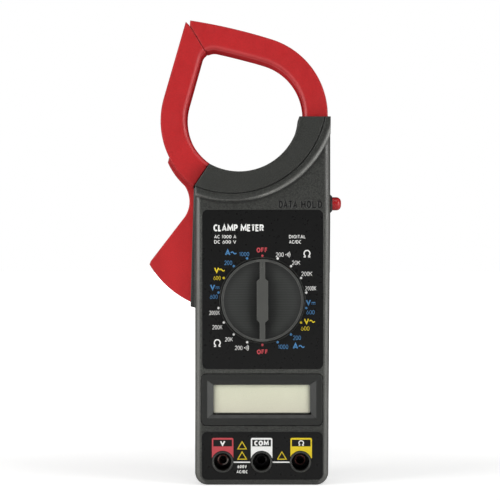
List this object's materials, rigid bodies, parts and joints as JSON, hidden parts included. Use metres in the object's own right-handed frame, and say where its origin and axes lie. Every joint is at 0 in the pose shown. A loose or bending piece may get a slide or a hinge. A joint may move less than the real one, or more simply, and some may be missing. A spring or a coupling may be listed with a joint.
{
  "type": "clamp meter",
  "caption": "Handheld digital clamp meter with a teardrop current jaw, side trigger, round selector knob, display and input sockets.",
  "frame": {"origin": "centre of the bottom end face, on the parting plane between the two case halves", "axes": "+Z from the socket end up to the jaw tips, -Y out of the front face with the display, +X towards the hold button"},
  "size_m": [0.0955, 0.037, 0.2299],
  "materials": {
    "case_grey": "fine matte grain",
    "jaw_red": "satin",
    "knob_grey": "matte",
    "bezel_grey": "matte",
    "label_black": "matte film",
    "rear_label": "satin foil, blank",
    "clear_lens": "clear",
    "lcd": "reflective display, switched off",
    "zebra": "matte",
    "black_plastic": "matte",
    "foam": "soft foam",
    "battery_jacket": "satin, blank",
    "steel": "zinc plated",
    "core_steel": "laminated",
    "copper_coil": "enamelled winding",
    "brass": "polished",
    "pcb": "solder mask",
    "epoxy": "epoxy",
    "blue_plastic": "moulded",
    "component": "dipped"
  },
  "bodies": {
    "body": {"front_case": "case_grey", "rear_case": "case_grey", "battery_pad": "foam", "battery": "battery_jacket", "battery_snap": "black_plastic", "fixed_jaw_front": "jaw_red", "fixed_jaw_rear": "jaw_red", "fixed_core": "core_steel", "fixed_coil": "copper_coil", "pivot_pin": "steel", "return_spring": "steel", "dial_label": "label_black", "socket_label": "label_black", "rear_plate": "rear_label", "display_bezel": "bezel_grey", "display_lens": "clear_lens", "lcd_glass": "lcd", "lcd_frame": "black_plastic", "lcd_zebra": "zebra", "main_pcb": "pcb", "pcb_screws": "steel", "chip_blob": "epoxy", "trimmer": "blue_plastic", "capacitors": "component", "buzzer": "black_plastic", "hold_switch": "black_plastic", "hold_collar": "black_plastic", "hold_spring": "steel", "jack_volt": "brass", "jack_com": "brass", "jack_ohm": "brass", "case_screws": "steel"},
    "jaw": {"moving_jaw_front": "jaw_red", "moving_jaw_rear": "jaw_red", "moving_core": "core_steel", "moving_coil": "copper_coil", "trigger_screw": "steel"},
    "knob": {"selector_knob": "knob_grey", "switch_wipers": "brass"},
    "hold": {"hold_button": "jaw_red"},
    "door": {"battery_door": "case_grey"}
  },
  "joints": [
    {"name": "jaw_open", "type": "hinge", "parent": "body", "child": "jaw", "pos_m": [-0.0265, 0, 0.1403], "axis": [0, -1, 0], "range_deg": [0, 30], "stiffness_Nm_per_rad": 0.25, "deforming": ["return_spring"]},
    {"name": "knob_turn", "type": "hinge", "parent": "body", "child": "knob", "pos_m": [0.0001, 0, 0.0914], "axis": [0, -1, 0], "continuous": true},
    {"name": "hold_press", "type": "slide", "parent": "body", "child": "hold", "axis": [-1, 0, 0], "range_m": [0, 0.002], "stiffness_N_per_m": 600, "deforming": ["hold_spring"]},
    {"name": "door_slide", "type": "slide", "parent": "body", "child": "door", "axis": [0, 0, -1], "range_m": [0, 0.056]}
  ]
}
